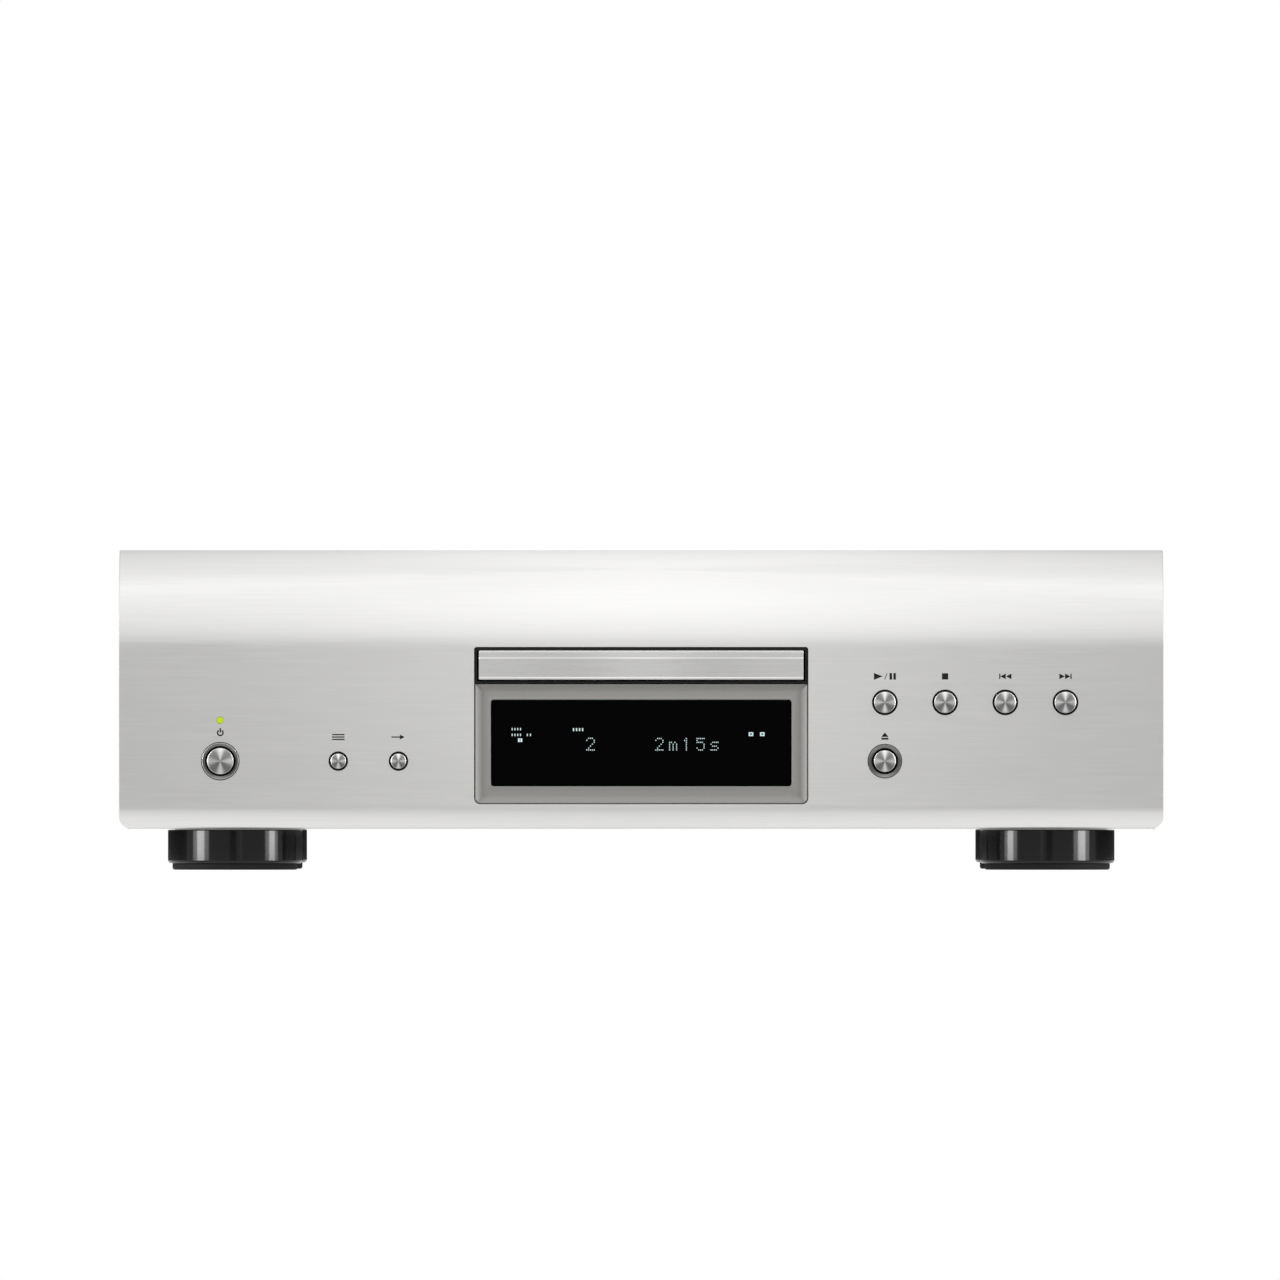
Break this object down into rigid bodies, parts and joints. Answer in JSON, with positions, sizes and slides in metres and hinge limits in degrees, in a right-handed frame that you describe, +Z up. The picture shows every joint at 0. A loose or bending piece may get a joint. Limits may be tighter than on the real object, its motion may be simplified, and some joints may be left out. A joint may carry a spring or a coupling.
{
  "type": "cd player",
  "caption": "Full-width disc player: aluminium front with curved brow, disc drawer, display, sprung buttons, loader and tilting drive, sheet case, four turned feet.",
  "frame": {"origin": "under the middle of the whole object, on the table", "axes": "+X to the right seen from the front, -Y out of the front panel, +Z up"},
  "size_m": [0.434, 0.3284, 0.133],
  "materials": {
    "brushed_aluminium": "fine horizontal brushing, satin",
    "spun_aluminium": "spun caps with bright chamfers",
    "silver_paint": "fine satin silver paint",
    "zinc_steel": "zinc-plated sheet",
    "grey_bezel": "satin grey",
    "black_plastic": "fine satin",
    "gloss_black": "glossy black",
    "smoked_window": "polished, nearly black",
    "tray_plastic": "fine texture",
    "lamp_green": "lit yellow-green",
    "rubber": "matt",
    "circuit_board": "solder mask",
    "white_acetal": "moulded",
    "laminated_core": "varnished laminations and winding",
    "gold_plate": "plated",
    "lens_glass": "polished, coated"
  },
  "bodies": {
    "case": {"front_panel": "brushed_aluminium", "top_cover": "silver_paint", "base_plate": "zinc_steel", "front_subchassis": "zinc_steel", "rear_panel": "silver_paint", "foot_front_left": "gloss_black", "foot_front_right": "gloss_black", "foot_rear_left": "gloss_black", "foot_rear_right": "gloss_black", "foot_pad_front_left": "rubber", "foot_pad_front_right": "rubber", "foot_pad_rear_left": "rubber", "foot_pad_rear_right": "rubber", "power_bezel": "zinc_steel", "eject_bezel": "zinc_steel", "standby_lamp": "lamp_green", "control_board_left": "circuit_board", "control_board_right": "circuit_board", "slot_frame": "black_plastic", "display_bezel": "grey_bezel", "display_window": "smoked_window", "display_module": "circuit_board", "loader_frame": "black_plastic", "loader_bracket": "zinc_steel", "clamper_bridge": "zinc_steel", "loading_motor": "zinc_steel", "loading_belt": "rubber", "power_supply_board": "circuit_board", "audio_board": "circuit_board", "power_transformer": "laminated_core", "analog_jack_left": "gold_plate", "analog_jack_right": "gold_plate", "coaxial_jack": "gold_plate", "mains_inlet": "black_plastic", "optical_socket": "black_plastic", "remote_jacks": "black_plastic"},
    "drawer": {"disc_tray": "tray_plastic", "tray_front": "brushed_aluminium"},
    "tray_gear": {"tray_gear": "white_acetal"},
    "loading_pulley": {"loading_pulley": "white_acetal"},
    "motor_pulley": {"motor_pulley": "white_acetal"},
    "lift_cam": {"lift_cam": "white_acetal"},
    "drive": {"drive_chassis": "zinc_steel", "spindle_motor": "zinc_steel", "sled_rail_left": "zinc_steel", "sled_rail_right": "zinc_steel", "sled_motor": "zinc_steel"},
    "turntable": {"turntable": "black_plastic"},
    "clamper": {"disc_clamper": "black_plastic"},
    "sled": {"pickup_sled": "black_plastic"},
    "lens": {"objective_lens": "lens_glass"},
    "lead_screw": {"lead_screw": "zinc_steel"},
    "power_button": {"power_button": "spun_aluminium"},
    "layer_button": {"layer_button": "spun_aluminium"},
    "direct_button": {"direct_button": "spun_aluminium"},
    "play_button": {"play_button": "spun_aluminium"},
    "stop_button": {"stop_button": "spun_aluminium"},
    "previous_button": {"previous_button": "spun_aluminium"},
    "next_button": {"next_button": "spun_aluminium"},
    "eject_button": {"eject_button": "spun_aluminium"}
  },
  "joints": [
    {"name": "drawer_slide", "type": "slide", "parent": "case", "child": "drawer", "axis": [0, -1, 0], "range_m": [0, 0.14]},
    {"name": "tray_gear_spin", "type": "hinge", "parent": "case", "child": "tray_gear", "pos_m": [-0.0399, -0.1238, 0.079], "axis": [0, 0, 1], "range_deg": [0, 669]},
    {"name": "loading_pulley_spin", "type": "hinge", "parent": "case", "child": "loading_pulley", "pos_m": [-0.0218, -0.1238, 0.079], "axis": [0, 0, 1], "range_deg": [-1337, 0]},
    {"name": "motor_pulley_spin", "type": "hinge", "parent": "case", "child": "motor_pulley", "pos_m": [0.01, -0.1238, 0.075], "axis": [0, 0, 1], "range_deg": [-4308, 0]},
    {"name": "drive_tilt", "type": "hinge", "parent": "case", "child": "drive", "pos_m": [0, 0.0132, 0.066], "axis": [1, 0, 0], "range_deg": [0, 5]},
    {"name": "lift_cam_slide", "type": "slide", "parent": "case", "child": "lift_cam", "axis": [1, 0, 0], "range_m": [0, 0.022]},
    {"name": "turntable_spin", "type": "hinge", "parent": "drive", "child": "turntable", "pos_m": [0, -0.0818, 0.075], "axis": [0, 0, 1], "continuous": true},
    {"name": "clamper_spin", "type": "hinge", "parent": "case", "child": "clamper", "pos_m": [0, -0.0818, 0.093], "axis": [0, 0, 1], "continuous": true},
    {"name": "sled_slide", "type": "slide", "parent": "drive", "child": "sled", "axis": [0, 1, 0], "range_m": [0, 0.0345]},
    {"name": "lead_screw_spin", "type": "hinge", "parent": "drive", "child": "lead_screw", "pos_m": [0.034, -0.0418, 0.0735], "axis": [0, 1, 0], "range_deg": [0, 4141]},
    {"name": "lens_focus", "type": "slide", "parent": "sled", "child": "lens", "axis": [0, 0, 1], "range_m": [-0.0008, 0.0008], "stiffness_N_per_m": 40},
    {"name": "power_press", "type": "slide", "parent": "case", "child": "power_button", "axis": [0, 1, 0], "range_m": [0, 0.0012], "stiffness_N_per_m": 1500, "springref_m": -0.0005},
    {"name": "layer_press", "type": "slide", "parent": "case", "child": "layer_button", "axis": [0, 1, 0], "range_m": [0, 0.0008], "stiffness_N_per_m": 1500, "springref_m": -0.0005},
    {"name": "direct_press", "type": "slide", "parent": "case", "child": "direct_button", "axis": [0, 1, 0], "range_m": [0, 0.0008], "stiffness_N_per_m": 1500, "springref_m": -0.0005},
    {"name": "play_press", "type": "slide", "parent": "case", "child": "play_button", "axis": [0, 1, 0], "range_m": [0, 0.0008], "stiffness_N_per_m": 1500, "springref_m": -0.0005},
    {"name": "stop_press", "type": "slide", "parent": "case", "child": "stop_button", "axis": [0, 1, 0], "range_m": [0, 0.0008], "stiffness_N_per_m": 1500, "springref_m": -0.0005},
    {"name": "previous_press", "type": "slide", "parent": "case", "child": "previous_button", "axis": [0, 1, 0], "range_m": [0, 0.0008], "stiffness_N_per_m": 1500, "springref_m": -0.0005},
    {"name": "next_press", "type": "slide", "parent": "case", "child": "next_button", "axis": [0, 1, 0], "range_m": [0, 0.0008], "stiffness_N_per_m": 1500, "springref_m": -0.0005},
    {"name": "eject_press", "type": "slide", "parent": "case", "child": "eject_button", "axis": [0, 1, 0], "range_m": [0, 0.0008], "stiffness_N_per_m": 1500, "springref_m": -0.0005}
  ],
  "couplings": [
    {"joint": "tray_gear_spin", "follows": "drawer_slide", "rad_per_m": 83.333},
    {"joint": "loading_pulley_spin", "follows": "drawer_slide", "rad_per_m": -166.67},
    {"joint": "motor_pulley_spin", "follows": "drawer_slide", "rad_per_m": -537.04},
    {"joint": "lift_cam_slide", "follows": "drive_tilt", "m_per_rad": 0.2521},
    {"joint": "clamper_spin", "follows": "turntable_spin", "ratio": 1},
    {"joint": "lead_screw_spin", "follows": "sled_slide", "rad_per_m": 2094.4}
  ]
}
